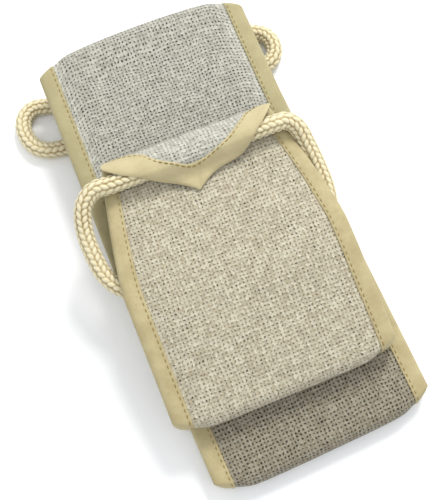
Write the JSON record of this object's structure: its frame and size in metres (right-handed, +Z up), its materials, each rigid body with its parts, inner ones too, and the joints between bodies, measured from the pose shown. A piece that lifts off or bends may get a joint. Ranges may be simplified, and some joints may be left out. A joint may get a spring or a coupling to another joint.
{
  "type": "loofah back scrubber",
  "caption": "Long padded scrubbing strap with bound edges, folded zigzag into four layers, with a pointed flap and a rope handle at each end.",
  "frame": {"origin": "on the table, under the middle of the folded strap", "axes": "+X across the strap to the right, +Y along it from the last fold to the far fold, +Z up"},
  "size_m": [0.1469, 0.2285, 0.05],
  "materials": {
    "loofah_cloth": "coarse open plain weave, matt, with dark pinholes between the threads",
    "padding": "soft fleece padding, out of sight between the cloths",
    "binding_tape": "smooth khaki cotton bias tape, matt",
    "thread": "tan sewing thread",
    "rope": "cream braided cotton rope, matt"
  },
  "bodies": {
    "panel_3": {"front_3": "loofah_cloth", "back_3": "loofah_cloth", "pad_3": "padding", "edge_left_3": "binding_tape", "edge_right_3": "binding_tape", "seams_3": "thread", "fold_23_outer": "loofah_cloth", "fold_23_inner": "loofah_cloth", "fold_23_pad": "padding", "fold_23_edges": "binding_tape", "fold_34_outer": "loofah_cloth", "fold_34_inner": "loofah_cloth", "fold_34_pad": "padding", "fold_34_edges": "binding_tape"},
    "panel_2": {"front_2": "loofah_cloth", "back_2": "loofah_cloth", "pad_2": "padding", "edge_left_2": "binding_tape", "edge_right_2": "binding_tape", "seams_2": "thread", "fold_12_outer": "loofah_cloth", "fold_12_inner": "loofah_cloth", "fold_12_pad": "padding", "fold_12_edges": "binding_tape"},
    "panel_1": {"front_1": "loofah_cloth", "back_1": "loofah_cloth", "pad_1": "padding", "edge_left_1": "binding_tape", "edge_right_1": "binding_tape", "seams_1": "thread", "flap_1": "loofah_cloth", "flap_binding_1": "binding_tape", "flap_seam_1": "thread"},
    "panel_4": {"front_4": "loofah_cloth", "back_4": "loofah_cloth", "pad_4": "padding", "edge_left_4": "binding_tape", "edge_right_4": "binding_tape", "seams_4": "thread", "flap_2": "loofah_cloth", "flap_binding_2": "binding_tape", "flap_seam_2": "thread"},
    "handle_1": {"rope_1": "rope", "rope_join_1": "thread"},
    "handle_2": {"rope_2": "rope", "rope_join_2": "thread"}
  },
  "joints": [
    {"name": "fold_23", "type": "hinge", "parent": "panel_3", "child": "panel_2", "pos_m": [0.00336, 0.11054, 0.0231], "axis": [-0.9998, 0.0174, 0.0008], "range_deg": [0, 180], "deforming": ["fold_23_outer", "fold_23_inner", "fold_23_pad", "fold_23_edges"]},
    {"name": "fold_12", "type": "hinge", "parent": "panel_2", "child": "panel_1", "pos_m": [-0.0033, -0.08181, 0.02002], "axis": [0.9994, -0.0349, -0.0017], "range_deg": [0, 171], "deforming": ["fold_12_outer", "fold_12_inner", "fold_12_pad", "fold_12_edges"]},
    {"name": "fold_34", "type": "hinge", "parent": "panel_3", "child": "panel_4", "pos_m": [0.0033, -0.11129, 0.00604], "axis": [-1, 0, 0], "range_deg": [0, 180], "deforming": ["fold_34_outer", "fold_34_inner", "fold_34_pad", "fold_34_edges"]},
    {"name": "handle_1_swing", "type": "hinge", "parent": "panel_1", "child": "handle_1", "pos_m": [0.00071, 0.03204, 0.04422], "axis": [0.9994, -0.0349, -0.0017], "range_deg": [0, 165]},
    {"name": "handle_2_swing", "type": "hinge", "parent": "panel_4", "child": "handle_2", "pos_m": [0.0033, 0.10016, 0.00573], "axis": [1, 0, 0], "range_deg": [0, 180]}
  ],
  "couplings": [
    {"joint": "handle_1_swing", "follows": "fold_12", "ratio": 0.96},
    {"joint": "handle_2_swing", "follows": "fold_34", "ratio": 1}
  ]
}
